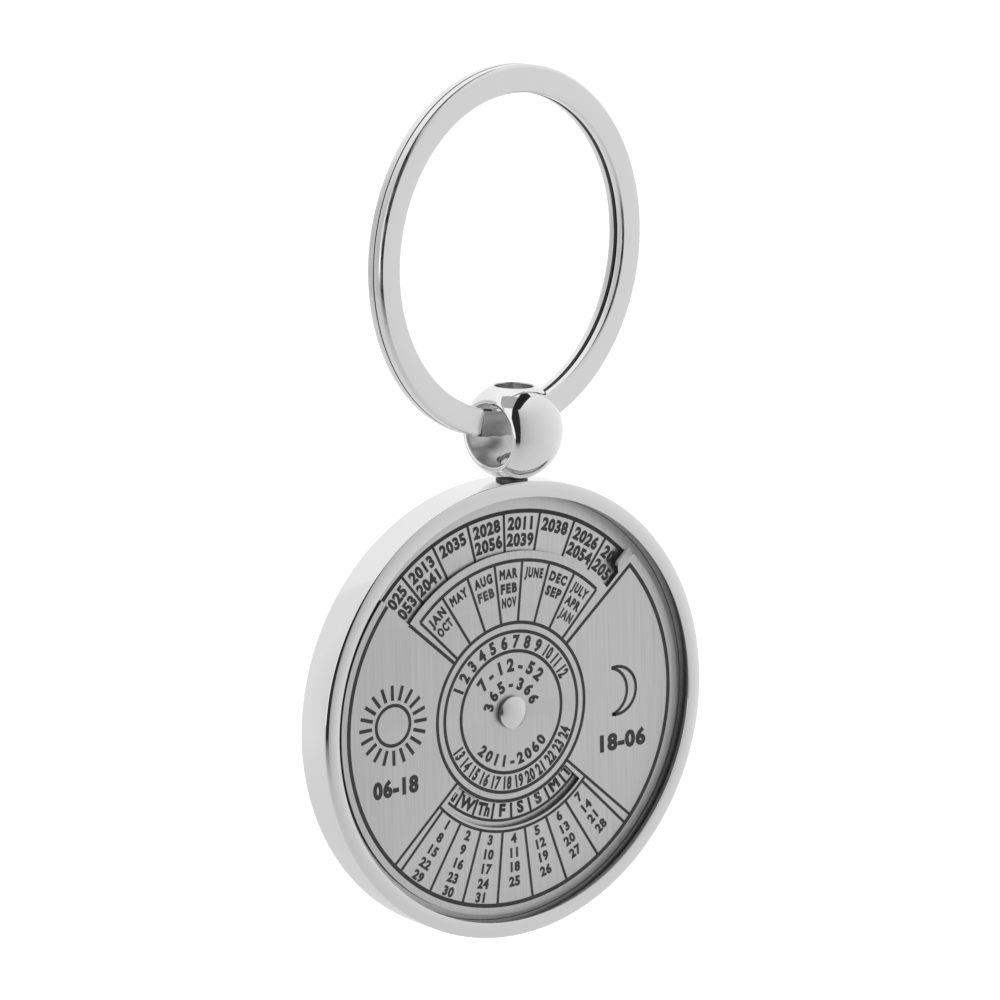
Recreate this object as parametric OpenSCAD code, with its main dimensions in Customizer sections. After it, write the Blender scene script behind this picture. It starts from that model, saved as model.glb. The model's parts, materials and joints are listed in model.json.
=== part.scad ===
// Perpetual calendar keyring: a round case with a turning window plate over a fixed year dial,
// a swivel ball on its rim and a split ring through the ball.
// Seen from the front: X to the right, Y to the back, Z up. The origin is the split ring's centre.

/* [Case] */
// Diameter of the round case
case_d = 39.3; // [36:0.1:48]
// Thickness of the case, from its rim's top to its back
case_t = 4; // [3.6:0.05:6]
// Width of the raised rim, measured along the radius
rim_w = 1.35; // [1.3:0.05:1.9]
// Height of the rim's top above the window plate's face
rim_rise = 1; // [0.5:0.05:1.4]
// Radius of the rim's crowned front
rim_crown_r = 1.4; // [1.3:0.1:4]
// How far the crown's top lies inside the case's edge
rim_crown_in = 0.85; // [0.7:0.05:1.2]
// Rounding of the rim's outer front edge
rim_round = 0.1; // [0.05:0.05:0.6]
// Rounding of the rim's inner front edge
rim_inner_round = 0.1; // [0.05:0.05:0.2]
// Rounding of the case's back edge
back_round = 0.4; // [0.1:0.05:0.8]

/* [Calendar plates] */
// Thickness of the window plate
plate_t = 0.35; // [0.25:0.05:0.5]
// Thickness of the year dial
dial_t = 0.35; // [0.25:0.05:0.5]
// Thickness of the double-sided tape under the year dial
tape_t = 0.1; // [0.05:0.05:0.2]
// Running gap between the window plate and the year dial
plate_gap = 0.04; // [0.03:0.01:0.1]
// Play between the window plate's edge and the recess wall
plate_play = 0.5; // [0.3:0.05:0.6]
// Play between the year dial's edge and the recess wall
dial_play = 0.1; // [0.05:0.05:0.6]
// How far the tape stays inside the year dial's edge
tape_margin = 0.6; // [0.2:0.1:2]
// Turn of the window plate at rest, counter-clockwise from the front
plate_turn = 3.1; // [-180:0.1:180]

/* [Plate cut-outs] */
// Depth of the year cut-out, inward from the plate's edge
year_cut_depth = 3.95; // [3:0.05:5]
// Half angle of the year cut-out
year_cut_half = 48.4; // [30:0.2:60]
// Inner radius of the weekday window
day_window_r = 7.9; // [6:0.1:8.5]
// Height of the weekday window along the radius
day_window_h = 2.1; // [1.5:0.1:2.5]
// Half angle of the weekday window
day_window_half = 45; // [30:1:55]
// Width of the finger tab along the radius
tab_w = 2.1; // [1.2:0.1:2.6]
// Length of the finger tab from its bend
tab_len = 1.1; // [0.5:0.1:1.7]
// How far the finger tab stays inside the plate's edge
tab_inset = 0.2; // [0.1:0.1:1]
// Angle at which the finger tab is bent up
tab_bend = 29; // [15:1:32]

/* [Centre rivet] */
// How far the centre rivet lies below the case's centre
rivet_drop = 0.25; // [0:0.05:0.25]
// Diameter of the centre rivet's shank
rivet_d = 1.6; // [1.2:0.1:2]
// Diameter of the rivet's domed head
rivet_head_d = 2.76; // [2.5:0.02:4]
// Height of the straight side of the rivet's head
rivet_head_side = 0.3; // [0.1:0.05:0.4]
// Height of the dome on the rivet's head
rivet_head_dome = 0.4; // [0.2:0.05:0.5]
// Diameter of the rivet's spread tail
rivet_tail_d = 2.6; // [2.3:0.1:3.6]
// Thickness of the rivet's spread tail
rivet_tail_t = 0.35; // [0.25:0.05:0.5]
// Diameter of the dished friction washer
washer_d = 4.2; // [4:0.1:6]
// Thickness of the friction washer
washer_t = 0.15; // [0.1:0.05:0.2]
// Height of the friction washer's dish
washer_dish = 0.15; // [0.05:0.05:0.2]
// Clearance round the friction washer in its pocket
pocket_play = 0.3; // [0.2:0.1:0.6]

/* [Swivel] */
// Depth of the swivel's axis behind the rim's top
swivel_depth = 1.75; // [1.5:0.05:2]
// Diameter of the swivel ball
ball_d = 8.4; // [7.8:0.1:10]
// Diameter of the bore that the split ring passes through
ball_bore_d = 5.3; // [4.9:0.1:5.8]
// Rounding of the bore's two mouths
ball_lip = 0.25; // [0.1:0.05:0.4]
// Diameter of the hole in the top of the ball
ball_top_hole_d = 3.3; // [2.8:0.1:4]
// Height of the ball's centre above the flat it turns on
ball_rise = 3.95; // [3.7:0.05:4.1]
// Diameter of the swivel pin
pin_d = 1.8; // [1.4:0.1:2]
// Depth that the swivel pin is pressed into the rim
pin_seat = 1.1; // [0.9:0.1:1.1]
// Diameter of the swivel pin's domed head
pin_head_d = 2.4; // [2.1:0.1:2.7]
// Height of the swivel pin's domed head
pin_head_h = 0.9; // [0.5:0.1:1.2]
// Diameter of the washer under the ball
wear_washer_d = 2.7; // [2.5:0.1:3.2]
// Thickness of the washer under the ball
wear_washer_t = 0.25; // [0.1:0.05:0.3]
// Depth of the flat cut for that washer in the rim
wear_seat_depth = 0.1; // [0.1:0.05:0.25]

/* [Split ring] */
// Inside diameter of the split ring
ring_id = 26.6; // [24:0.1:32]
// Width of the flat wire along the radius
wire_w = 2.35; // [1.8:0.05:2.4]
// Thickness of the flat wire
wire_t = 0.84; // [0.6:0.02:0.9]
// Gap between the two turns
turn_gap = 0.08; // [0.04:0.02:0.2]
// Bevel along the wire's edges
wire_bevel = 0.16; // [0.05:0.01:0.25]
// Angle over which the wire steps from one turn to the other
jog_angle = 30; // [20:1:45]
// Place of the front turn's free end, in degrees past the ring's lowest point
free_end = 13; // [5:1:30]
// Turn of the ring and ball on the swivel at rest
ring_turn = 9.7; // [-90:0.1:90]
// Tip of the ball's bore at rest, to the right
bore_tip = 3; // [0:0.5:4]
// How far the ring's centre lies left of the bore's middle
ring_slide = 0.5; // [0:0.1:0.8]

/* [Hidden] */
$fn = 96;

// Clearances
running_gap = 0.05;
fixed_gap = 0.02;
past = 1;

// Case depths, measured back from the window plate's face
case_r = case_d / 2;
recess_r = case_r - rim_w;
front_y = -rim_rise;
back_y = case_t - rim_rise;
dial_y = plate_t + plate_gap;
tape_y = dial_y + dial_t;
floor_y = tape_y + tape_t;

// Crowned rim: centre of the crown, and the angles at which its two roundings take over
crown_r = case_r - rim_crown_in;
crown_y = front_y + rim_crown_r;
outer_tilt = asin((case_r - rim_round - crown_r) / (rim_crown_r - rim_round));
inner_tilt = asin((crown_r - recess_r - rim_inner_round) / (rim_crown_r - rim_inner_round));
outer_round_y = crown_y - (rim_crown_r - rim_round) * cos(outer_tilt);
inner_round_y = crown_y - (rim_crown_r - rim_inner_round) * cos(inner_tilt);

// Sheets
plate_r = recess_r - plate_play;
dial_r = recess_r - dial_play;
year_cut_r = plate_r - year_cut_depth;
wedge_r = 2 * case_r;

// Centre rivet and its pocket in the case floor
rivet_r = rivet_d / 2;
pocket_r = max(washer_d, rivet_tail_d) / 2 + pocket_play;
tail_y = tape_y + washer_dish + washer_t;
pocket_y = tail_y + rivet_tail_t + pocket_play / 2;

// Swivel heights, measured up from the case's centre
swivel_y = front_y + swivel_depth;
wear_z = case_r - wear_seat_depth;
ball_flat_z = wear_z + wear_washer_t + running_gap;
ball_z = ball_flat_z + ball_rise;
ball_r = ball_d / 2;
bore_r = ball_bore_d / 2;
pin_r = pin_d / 2;
head_seat_sink = 0.15;
head_seat_z = ball_z - bore_r - head_seat_sink;
pin_head_z = head_seat_z + running_gap;
pin_head_r = pin_head_d / 2;

// Rounded mouth of the ball's bore: centre of the rounding and its angle on the ball
lip_r = bore_r + ball_lip;
lip_x = sqrt(pow(ball_r - ball_lip, 2) - pow(lip_r, 2));
lip_angle = atan2(lip_r, lip_x);
lip_steps = 8;

// The ring hangs in the bore: its inner edge clears the top of the bore at the higher mouth
ring_in_r = ring_id / 2;
wire_r = ring_in_r + wire_w / 2;
turn_pitch = wire_t + turn_gap;
ring_half_t = (turn_pitch + wire_t) / 2;
hang_gap = 0.05;
hang_z = sqrt(pow(bore_r, 2) - pow(ring_half_t, 2)) - hang_gap;
hang_rise = hang_z + sqrt(pow(ring_in_r, 2) - pow(lip_x + ring_slide, 2));
ring_left = ring_slide * cos(bore_tip) + hang_rise * sin(bore_tip);
ring_up = hang_rise * cos(bore_tip) - ring_slide * sin(bore_tip);

// Places in the ring's frame
ball_centre = [ring_left * cos(ring_turn), ring_left * sin(ring_turn), -ring_up];
case_centre = ball_centre - [0, swivel_y, ball_z];

// Wire sweep
step_angle = 3;
sweep_angle = 720 - jog_angle - 1;
sweep_steps = ceil(sweep_angle / step_angle);

// Colours
chrome = [0.82, 0.82, 0.83];
steel = [0.70, 0.70, 0.71];
dark_steel = [0.50, 0.50, 0.52];
tape_white = [0.90, 0.90, 0.86];

// Points of an arc from angle a to angle b
function arc(centre, r, a, b, steps = 6) =
    [for (i = [0:steps]) centre + r * [cos(a + (b - a) * i / steps), sin(a + (b - a) * i / steps)]];

// Rectangle with bevelled corners, as [along the radius, to the back]
function bevelled(w, t, c) = [
    [w / 2, t / 2 - c], [w / 2 - c, t / 2], [c - w / 2, t / 2], [-w / 2, t / 2 - c],
    [-w / 2, c - t / 2], [c - w / 2, -t / 2], [w / 2 - c, -t / 2], [w / 2, c - t / 2]];

// Depth of the wire's centre at a turn angle: front turn, step back, rear turn
function wire_depth(phi) =
    let (s = min(max((phi - 360 + jog_angle) / jog_angle, 0), 1))
    turn_pitch * (s * s * (3 - 2 * s) - 0.5);

module at_case() {
    translate(case_centre) children();
}

// From the case's axis down to the centre rivet's
module dropped() {
    translate([0, 0, -rivet_drop]) children();
}

// On the centre rivet's axis, with the window plate's face at depth 0
module at_rivet() {
    at_case() dropped() children();
}

module at_ball() {
    translate(ball_centre) rotate([0, 0, ring_turn]) children();
}

// Lays a shape down along the ball's bore, with its Z on the bore's axis
module along_bore() {
    rotate([0, 90 - bore_tip, 0]) children();
}

// Turned part on the case's axis: the profile is [radius, depth]
module turned() {
    rotate([-90, 0, 0]) rotate_extrude() children();
}

// Round bar on the case's axis, between two depths
module bar(r, y0, y1) {
    translate([0, y0, 0]) rotate([-90, 0, 0]) cylinder(r = r, h = y1 - y0);
}

// Wedge seen from the front, about a middle direction
module wedge(middle, half, y0, y1) {
    rotate([90, 0, 0])
        translate([0, 0, -y1])
            linear_extrude(y1 - y0)
                polygon([[0, 0],
                         wedge_r * [cos(middle - half), sin(middle - half)],
                         wedge_r * [cos(middle), sin(middle)],
                         wedge_r * [cos(middle + half), sin(middle + half)]]);
}

// Sector of a ring, cut through a sheet
module ring_sector(r0, r1, middle, half, y0, y1) {
    intersection() {
        difference() {
            bar(r1, y0, y1);
            bar(r0, y0 - past, y1 + past);
        }
        wedge(middle, half, y0 - past, y1 + past);
    }
}

module case() {
    color(chrome)
    at_case() difference() {
        turned() polygon(concat(
            [[0, floor_y], [0, back_y]],
            arc([case_r - back_round, back_y - back_round], back_round, 90, 0),
            arc([case_r - rim_round, outer_round_y], rim_round, 0, outer_tilt - 90),
            arc([crown_r, crown_y], rim_crown_r, outer_tilt - 90, -inner_tilt - 90),
            arc([recess_r + rim_inner_round, inner_round_y], rim_inner_round, -inner_tilt - 90, -180),
            [[recess_r, floor_y]]));
        dropped() bar(pocket_r, floor_y - past, pocket_y);
        translate([0, swivel_y, case_r - pin_seat])
            cylinder(r = pin_r + fixed_gap, h = pin_seat + past);
        translate([0, swivel_y, wear_z])
            cylinder(r = wear_washer_d / 2 + running_gap, h = wear_seat_depth + past);
    }
}

module dial_tape() {
    color(tape_white)
    at_case() difference() {
        bar(dial_r - tape_margin, tape_y, floor_y);
        dropped() bar(pocket_r, tape_y - past, floor_y + past);
    }
}

module year_dial() {
    color(steel)
    at_case() difference() {
        bar(dial_r, dial_y, tape_y);
        dropped() bar(rivet_r + fixed_gap, dial_y - past, tape_y + past);
    }
}

// Finger tab, bent up from the right-hand edge of the year cut-out: the profile is [depth, along the edge]
module finger_tab() {
    root = 0.3;
    rise = tab_len * sin(tab_bend);
    reach = tab_len * cos(tab_bend);
    rotate([0, year_cut_half - 90, 0])
        translate([plate_r - tab_inset - tab_w, 0, 0])
            rotate([90, 0, 90])
                linear_extrude(tab_w)
                    polygon([
                        [0, -root], [0, 0], [-rise, reach],
                        [plate_t * cos(tab_bend) - rise, reach + plate_t * sin(tab_bend)],
                        [plate_t, plate_t * tan(tab_bend / 2)], [plate_t, -root]]);
}

module window_plate() {
    color(steel)
    at_rivet() rotate([0, -plate_turn, 0]) {
        difference() {
            bar(plate_r, 0, plate_t);
            bar(rivet_r + running_gap, -past, plate_t + past);
            ring_sector(year_cut_r, plate_r + past, 90, year_cut_half, -past, plate_t + past);
            ring_sector(day_window_r, day_window_r + day_window_h, 270, day_window_half,
                        -past, plate_t + past);
        }
        finger_tab();
    }
}

module centre_rivet() {
    head_r = rivet_head_d / 2;
    dome_r = (pow(head_r, 2) + pow(rivet_head_dome, 2)) / (2 * rivet_head_dome);
    dome_angle = asin(head_r / dome_r);
    side_y = -running_gap - rivet_head_side;
    color(chrome)
    at_rivet() turned() polygon(concat(
        arc([0, side_y - rivet_head_dome + dome_r], dome_r, -90, -90 + dome_angle, 8),
        [[head_r, -running_gap], [rivet_r, -running_gap], [rivet_r, tail_y],
         [rivet_tail_d / 2, tail_y], [rivet_tail_d / 2, tail_y + rivet_tail_t],
         [0, tail_y + rivet_tail_t]]));
}

module friction_washer() {
    inner_r = rivet_r + running_gap;
    outer_r = washer_d / 2;
    color(dark_steel)
    at_rivet() turned() polygon([
        [inner_r, tape_y + washer_dish], [outer_r, tape_y],
        [outer_r, tape_y + washer_t], [inner_r, tail_y]]);
}

// What the rounding takes off one mouth of the ball's bore
module lip_cut() {
    far = ball_r + past;
    rounding = [for (p = arc([lip_x, lip_r], ball_lip, -90, lip_angle, lip_steps)) [p[1], p[0]]];
    rotate_extrude()
        polygon(concat(
            [[bore_r - ball_lip, far], [bore_r - ball_lip, lip_x]],
            rounding,
            [[far * sin(lip_angle), far * cos(lip_angle)]]));
}

module swivel_ball() {
    color(chrome)
    at_ball() difference() {
        sphere(r = ball_r);
        translate([-ball_d, -ball_d, -ball_rise - ball_d]) cube([2 * ball_d, 2 * ball_d, ball_d]);
        along_bore() {
            cylinder(r = bore_r, h = 2 * ball_d, center = true);
            lip_cut();
            mirror([0, 0, 1]) lip_cut();
        }
        cylinder(d = ball_top_hole_d, h = ball_d);
        translate([0, 0, -ball_d]) cylinder(r = pin_r + running_gap, h = ball_d);
        translate([0, 0, head_seat_z - ball_z]) cylinder(r = pin_head_r + 2 * running_gap, h = bore_r);
    }
}

module swivel_pin() {
    dome_r = (pow(pin_head_r, 2) + pow(pin_head_h, 2)) / (2 * pin_head_h);
    dome_angle = asin(min(pin_head_r / dome_r, 1));
    color(chrome)
    at_case() translate([0, swivel_y, 0]) rotate_extrude()
        polygon(concat(
            [[0, case_r - pin_seat], [pin_r, case_r - pin_seat], [pin_r, pin_head_z]],
            arc([0, pin_head_z + pin_head_h - dome_r], dome_r, 90 - dome_angle, 90, 8)));
}

module swivel_washer() {
    color(dark_steel)
    at_case() translate([0, swivel_y, wear_z]) difference() {
        cylinder(d = wear_washer_d, h = wear_washer_t);
        translate([0, 0, -past]) cylinder(r = pin_r + running_gap, h = wear_washer_t + 2 * past);
    }
}

// Two turns of flat wire in one sweep, clockwise from the front turn's free end
module split_ring() {
    section = bevelled(wire_w, wire_t, wire_bevel);
    sides = len(section);
    points = [
        for (i = [0:sweep_steps])
            let (phi = sweep_angle * i / sweep_steps, a = -90 - free_end - phi, y = wire_depth(phi))
            for (p = section) [(wire_r + p[0]) * cos(a), y + p[1], (wire_r + p[0]) * sin(a)]];
    walls = [
        for (i = [0:sweep_steps - 1])
            for (j = [0:sides - 1])
                let (k = (j + 1) % sides, m = i * sides, n = m + sides)
                for (f = [[m + j, m + k, n + k], [m + j, n + k, n + j]]) f];
    last = sweep_steps * sides;
    ends = [[for (j = [sides - 1:-1:0]) j], [for (j = [0:sides - 1]) last + j]];
    color(chrome)
    rotate([0, 0, ring_turn]) polyhedron(points, concat(walls, ends));
}

case();
dial_tape();
year_dial();
window_plate();
centre_rivet();
friction_washer();
swivel_ball();
swivel_pin();
swivel_washer();
split_ring();
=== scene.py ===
"""Perpetual calendar keyring: fine meshes, printing, finishes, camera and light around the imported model."""

import calendar
import json
import math

import bmesh
import bpy
from mathutils import Matrix, Vector


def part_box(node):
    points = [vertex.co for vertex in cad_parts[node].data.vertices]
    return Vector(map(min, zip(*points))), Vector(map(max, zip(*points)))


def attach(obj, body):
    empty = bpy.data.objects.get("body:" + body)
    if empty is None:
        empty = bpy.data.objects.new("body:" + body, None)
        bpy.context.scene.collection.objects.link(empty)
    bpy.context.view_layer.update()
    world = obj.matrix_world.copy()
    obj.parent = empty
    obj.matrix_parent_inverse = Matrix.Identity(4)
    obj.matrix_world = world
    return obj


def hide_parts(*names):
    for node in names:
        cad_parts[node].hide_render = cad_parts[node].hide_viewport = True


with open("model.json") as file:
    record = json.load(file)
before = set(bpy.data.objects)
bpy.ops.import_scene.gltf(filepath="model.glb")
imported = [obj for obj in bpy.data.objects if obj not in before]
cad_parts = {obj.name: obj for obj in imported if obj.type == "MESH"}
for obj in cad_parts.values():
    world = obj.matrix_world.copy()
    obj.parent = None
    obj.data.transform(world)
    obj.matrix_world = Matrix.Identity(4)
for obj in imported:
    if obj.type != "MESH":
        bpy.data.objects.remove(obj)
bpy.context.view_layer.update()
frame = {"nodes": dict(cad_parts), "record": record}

# Places and main sizes from the frame. Lengths in this script are millimetres, and angles degrees
MM = 0.001
joints = {joint["name"]: joint for joint in frame["record"]["behaviour"]["joints"]}
face_centre = Vector(joints["calendar_turn"]["pos_m"])
ball_centre = Vector(joints["ring_swing"]["pos_m"])
bore_axis = Vector(joints["ring_swing"]["axis"])
ring_turn = math.degrees(math.atan2(bore_axis.y, bore_axis.x))
bore_tip = math.degrees(math.asin(bore_axis.z))


def box_mm(node):
    """Lowest and highest corner of a node, in millimetres."""
    low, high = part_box(node)
    return Vector(low) / MM, Vector(high) / MM


case_low, case_high = box_mm("case")
case_r = (case_high.x - case_low.x) / 2
case_centre = Vector((face_centre.x, face_centre.y, (case_low.z + case_r) * MM))
rivet_drop = (case_centre.z - face_centre.z) / MM
rim_rise = face_centre.y / MM - case_low.y
back_depth = case_high.y - face_centre.y / MM
ring_low, ring_high = box_mm("split_ring")
ring_outer_r = (ring_high.z - ring_low.z) / 2
ball_low, ball_high = box_mm("swivel_ball")
ball_r = (ball_high.y - ball_low.y) / 2

# Case
RIM_W = 1.35
RIM_CROWN_R = 1.4
RIM_CROWN_IN = 0.85
RIM_ROUND = 0.1
RIM_INNER_ROUND = 0.1
BACK_ROUND = 0.4
RECESS_FLOOR = 0.84
POCKET_R = 2.4
POCKET_FLOOR = 1.54
PIN_SEAT = 1.1
WASHER_SEAT_R = 1.4
WASHER_SEAT_DEPTH = 0.1

# Calendar sheets. The plate is drawn a little small and to the right, which shows its edge, painted
# near-black as shade
SHEET_T = 0.35
SHEET_EDGE = 0.02
PLATE_R = 17.62
PLATE_SHIFT = 0.13
PLATE_TURN = 3.1
PLATE_HOLE_R = 0.85
DIAL_DEPTH = 0.39
DIAL_R = 18.28
DIAL_HOLE_R = 0.82
YEAR_CUT_R = 13.85
YEAR_CUT_HALF = 48.4
DAY_WINDOW = (7.9, 10.0)
DAY_WINDOW_HALF = 45.0
TAB_R = (15.5, 17.6)
TAB_LEN = 1.1
TAB_BEND = 29.0
TAB_CHAMFER = 0.3
TAB_SOFTENING = 0.4

# Rivet and pin: heads with a domed top
RIVET_R = 0.8
RIVET_HEAD_R = 1.38
RIVET_HEAD_GAP = 0.05
RIVET_HEAD_SIDE = 0.3
RIVET_DOME = 0.4
RIVET_TAIL_R = 1.3
RIVET_TAIL = (1.04, 1.39)
PIN_R = 0.9
PIN_HEAD_R = 1.2
PIN_HEAD_FOOT = -2.75
PIN_HEAD_H = 0.9

# Swivel ball, measured from its centre
BORE_R = 2.65
BORE_LIP = 0.25
TOP_HOLE_R = 1.65
TOP_HOLE_CHAMFER = 0.12
BALL_FLAT = -3.95
PIN_HOLE_R = 0.95
HEAD_SEAT_R = 1.3
HEAD_SEAT = -2.8

# Split ring. Bevels go by the outer (1) and the inner (-1) side of the wire
WIRE_W = 2.35
WIRE_T = 0.84
WIRE_ROUND = 0.05
OPEN_BEVEL = {1: 0.27, -1: 0.19}
GAP_BEVEL = {1: 0.05, -1: 0.2}
TURN_PITCH = 0.92
JOG_ANGLE = 30.0
FREE_END = 13.0
RING_SWEEP = 689.0
END_ROUND = 0.14

# Printing
PRINT_RISE = 0.008
LINE_RISE = 0.006
PRINT_SINK = 0.02
LINE = 0.36
MIDDLE_LINE = 0.3
THIN_LINE = 0.25
OUTER_CIRCLE = 16.76
MIDDLE_CIRCLES = (5.25, 6.94, 7.7)
RIGHT_SPOKE = 90 - YEAR_CUT_HALF - 1.5
COLUMNS = 28
PITCH = 360 / COLUMNS
DIAL_START = 144.87
FIRST_CLASS = 3
YEARS = range(2011, 2061)
LETTER_BOLD = 0.058
LETTER_SPACE = 1.12
LETTER_SQUEEZE = 0.95
HOURS_HEIGHT = 1.62
MONTH_BOLD = 0.068
MONTH_SPACE = 1.27
MONTH_HEIGHT = 0.94
MONTH_SPREAD = 0.16
WEEKDAYS = ("S", "M", "Tu", "W", "Th", "F", "S")
WEEK = len(WEEKDAYS)
MONTHS = (("JAN", "OCT"), ("MAY",), ("AUG", "FEB"), ("MAR", "FEB", "NOV"), ("JUNE",), ("DEC", "SEP"),
          ("JULY", "APR", "JAN"))
LEAP_MONTHS = {(2, 1), (6, 2)}

# Mesh fineness, and the tilts of a normal that tell edges and walls from faces
TURN_SEGMENTS = 288
ROUND_STEPS = 10
HOLE_STEPS = 48
AXIS_R = 1e-6
EDGE_TILT = 0.3
WALL_TILT = 0.5


def polar(radius, angle):
    """Point at a radius and an angle."""
    return Vector((radius * math.cos(math.radians(angle)), radius * math.sin(math.radians(angle))))


def arc(centre, radius, start, end, steps):
    """Points of an arc from one angle to another."""
    return [Vector(centre) + polar(radius, start + (end - start) * i / steps) for i in range(steps + 1)]


# Placing: a piece is drawn in its own frame and set into the model's frame by one of these

def on_face(turn=0.0, depth=0.0, centre=face_centre):
    """For a piece drawn as seen from the front, with z towards the reader."""
    return (Matrix.Translation(centre + Vector((0, depth * MM, 0)))
            @ Matrix.Rotation(math.radians(90), 4, "X")
            @ Matrix.Rotation(math.radians(turn), 4, "Z"))


def on_ball():
    """For a piece drawn about the ball's centre, with x along the ring's plane and z up."""
    return Matrix.Translation(ball_centre) @ Matrix.Rotation(math.radians(ring_turn), 4, "Z")


def on_ring():
    """For a piece drawn about the ring's centre, with the ring in the xz plane."""
    return Matrix.Rotation(math.radians(ring_turn), 4, "Z")


def new_object(name, bm):
    """Object with the mesh, in metres, with smooth faces between sharp edges."""
    sharp_angle = 32
    mesh = bpy.data.meshes.new(name)
    bmesh.ops.scale(bm, vec=(MM, MM, MM), verts=bm.verts)
    bm.to_mesh(mesh)
    bm.free()
    mesh.shade_smooth()
    mesh.set_sharp_from_angle(angle=math.radians(sharp_angle))
    obj = bpy.data.objects.new(name, mesh)
    bpy.context.scene.collection.objects.link(obj)
    return obj


def piece(name, bm, place, body, materials, nodes=(), own_frame=False):
    """Adds a piece of the keyring that moves with a body and stands for some nodes.

    A brushed sheet keeps its own frame, which its streaks follow.
    Other meshes are set into the model's frame.
    """
    bmesh.ops.recalc_face_normals(bm, faces=bm.faces)
    obj = new_object(name, bm)
    for material in materials:
        obj.data.materials.append(material)
    if own_frame:
        obj.matrix_world = place
    else:
        obj.data.transform(place)
    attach(obj, body)
    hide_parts(*nodes)
    return obj


def paint(bm, pick):
    """Gives each face the material, by its number, that is picked from the face's middle and normal."""
    bmesh.ops.recalc_face_normals(bm, faces=bm.faces)
    for face in bm.faces:
        face.material_index = int(pick(face.calc_center_median(), face.normal))
    return bm


# Mesh makers

def turned(profile):
    """Mesh turned about z from a closed profile of (radius, height) points."""
    bm = bmesh.new()
    rows = []
    for radius, height in profile:
        count = 1 if radius < AXIS_R else TURN_SEGMENTS
        points = [polar(radius, 360 * i / count) for i in range(count)]
        rows.append([bm.verts.new((p.x, p.y, height)) for p in points])
    for row, after in zip(rows, rows[1:] + rows[:1]):
        if len(row) == len(after) == 1:
            continue
        for i in range(TURN_SEGMENTS):
            j = i + 1
            corners = (row[i % len(row)], row[j % len(row)], after[j % len(after)], after[i % len(after)])
            bm.faces.new(dict.fromkeys(corners))
    bmesh.ops.recalc_face_normals(bm, faces=bm.faces)
    return bm


def from_curve(curve):
    """Mesh of a curve or lettering, with its seams closed."""
    seam = 1e-4
    holder = bpy.data.objects.new("drawing", curve)
    mesh = bpy.data.meshes.new_from_object(holder)
    bm = bmesh.new()
    bm.from_mesh(mesh)
    bmesh.ops.remove_doubles(bm, verts=bm.verts, dist=seam)
    bpy.data.objects.remove(holder)
    bpy.data.meshes.remove(mesh)
    return bm


def sheet(outlines):
    """Flat sheet with eased edges and its face at z = 0, from its rim's outline and those of holes."""
    curve = bpy.data.curves.new("outline", "CURVE")
    curve.dimensions = "2D"
    curve.fill_mode = "BOTH"
    curve.extrude = SHEET_T / 2 - SHEET_EDGE
    curve.bevel_depth = SHEET_EDGE
    curve.bevel_resolution = 2
    curve.offset = -SHEET_EDGE
    for points in outlines:
        spline = curve.splines.new("POLY")
        spline.points.add(len(points) - 1)
        for point, place in zip(spline.points, points):
            point.co = (place.x, place.y, 0, 1)
        spline.use_cyclic_u = True
    bm = from_curve(curve)
    bmesh.ops.translate(bm, vec=(0, 0, -SHEET_T / 2), verts=bm.verts)
    return bm


def cut_away(bm, tool_bm):
    """The mesh less a tool, both in the same frame."""
    body = new_object("cut_body", bm)
    tool = new_object("cut_tool", tool_bm)
    cut = body.modifiers.new("cut", "BOOLEAN")
    cut.object = tool
    cut.operation = "DIFFERENCE"
    cut.solver = "EXACT"
    mesh = bpy.data.meshes.new_from_object(body.evaluated_get(bpy.context.evaluated_depsgraph_get()))
    bpy.data.objects.remove(body)
    bpy.data.objects.remove(tool)
    result = bmesh.new()
    result.from_mesh(mesh)
    bpy.data.meshes.remove(mesh)
    bmesh.ops.scale(result, vec=(1 / MM, 1 / MM, 1 / MM), verts=result.verts)
    return result


# Pieces of metal

def dome(radius, rise, foot):
    """Profile of a domed head from its edge to its top, above a foot height."""
    sphere_r = (radius ** 2 + rise ** 2) / (2 * rise)
    edge_angle = math.degrees(math.acos(radius / sphere_r))
    if rise > sphere_r:
        edge_angle = -edge_angle
    points = arc((0, foot + rise - sphere_r), sphere_r, edge_angle, 90, ROUND_STEPS)
    points[-1].x = 0
    return points


def rim_profile(recess_r):
    """Profile of the crowned rim, from the case's side over the crown to the recess wall."""
    crown_steps = 20
    inner_steps = 8
    crown = Vector((case_r - RIM_CROWN_IN, rim_rise - RIM_CROWN_R))
    outer_reach = RIM_CROWN_R - RIM_ROUND
    inner_reach = RIM_CROWN_R - RIM_INNER_ROUND
    outer_tilt = math.degrees(math.asin((case_r - RIM_ROUND - crown.x) / outer_reach))
    inner_tilt = math.degrees(math.asin((crown.x - recess_r - RIM_INNER_ROUND) / inner_reach))
    outer = arc(crown + polar(outer_reach, 90 - outer_tilt), RIM_ROUND, 0, 90 - outer_tilt, ROUND_STEPS)
    top = arc(crown, RIM_CROWN_R, 90 - outer_tilt, 90 + inner_tilt, crown_steps)
    inner_centre = crown + polar(inner_reach, 90 + inner_tilt)
    inner = arc(inner_centre, RIM_INNER_ROUND, 90 + inner_tilt, 180, inner_steps)
    return outer + top[1:] + inner[1:]


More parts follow.
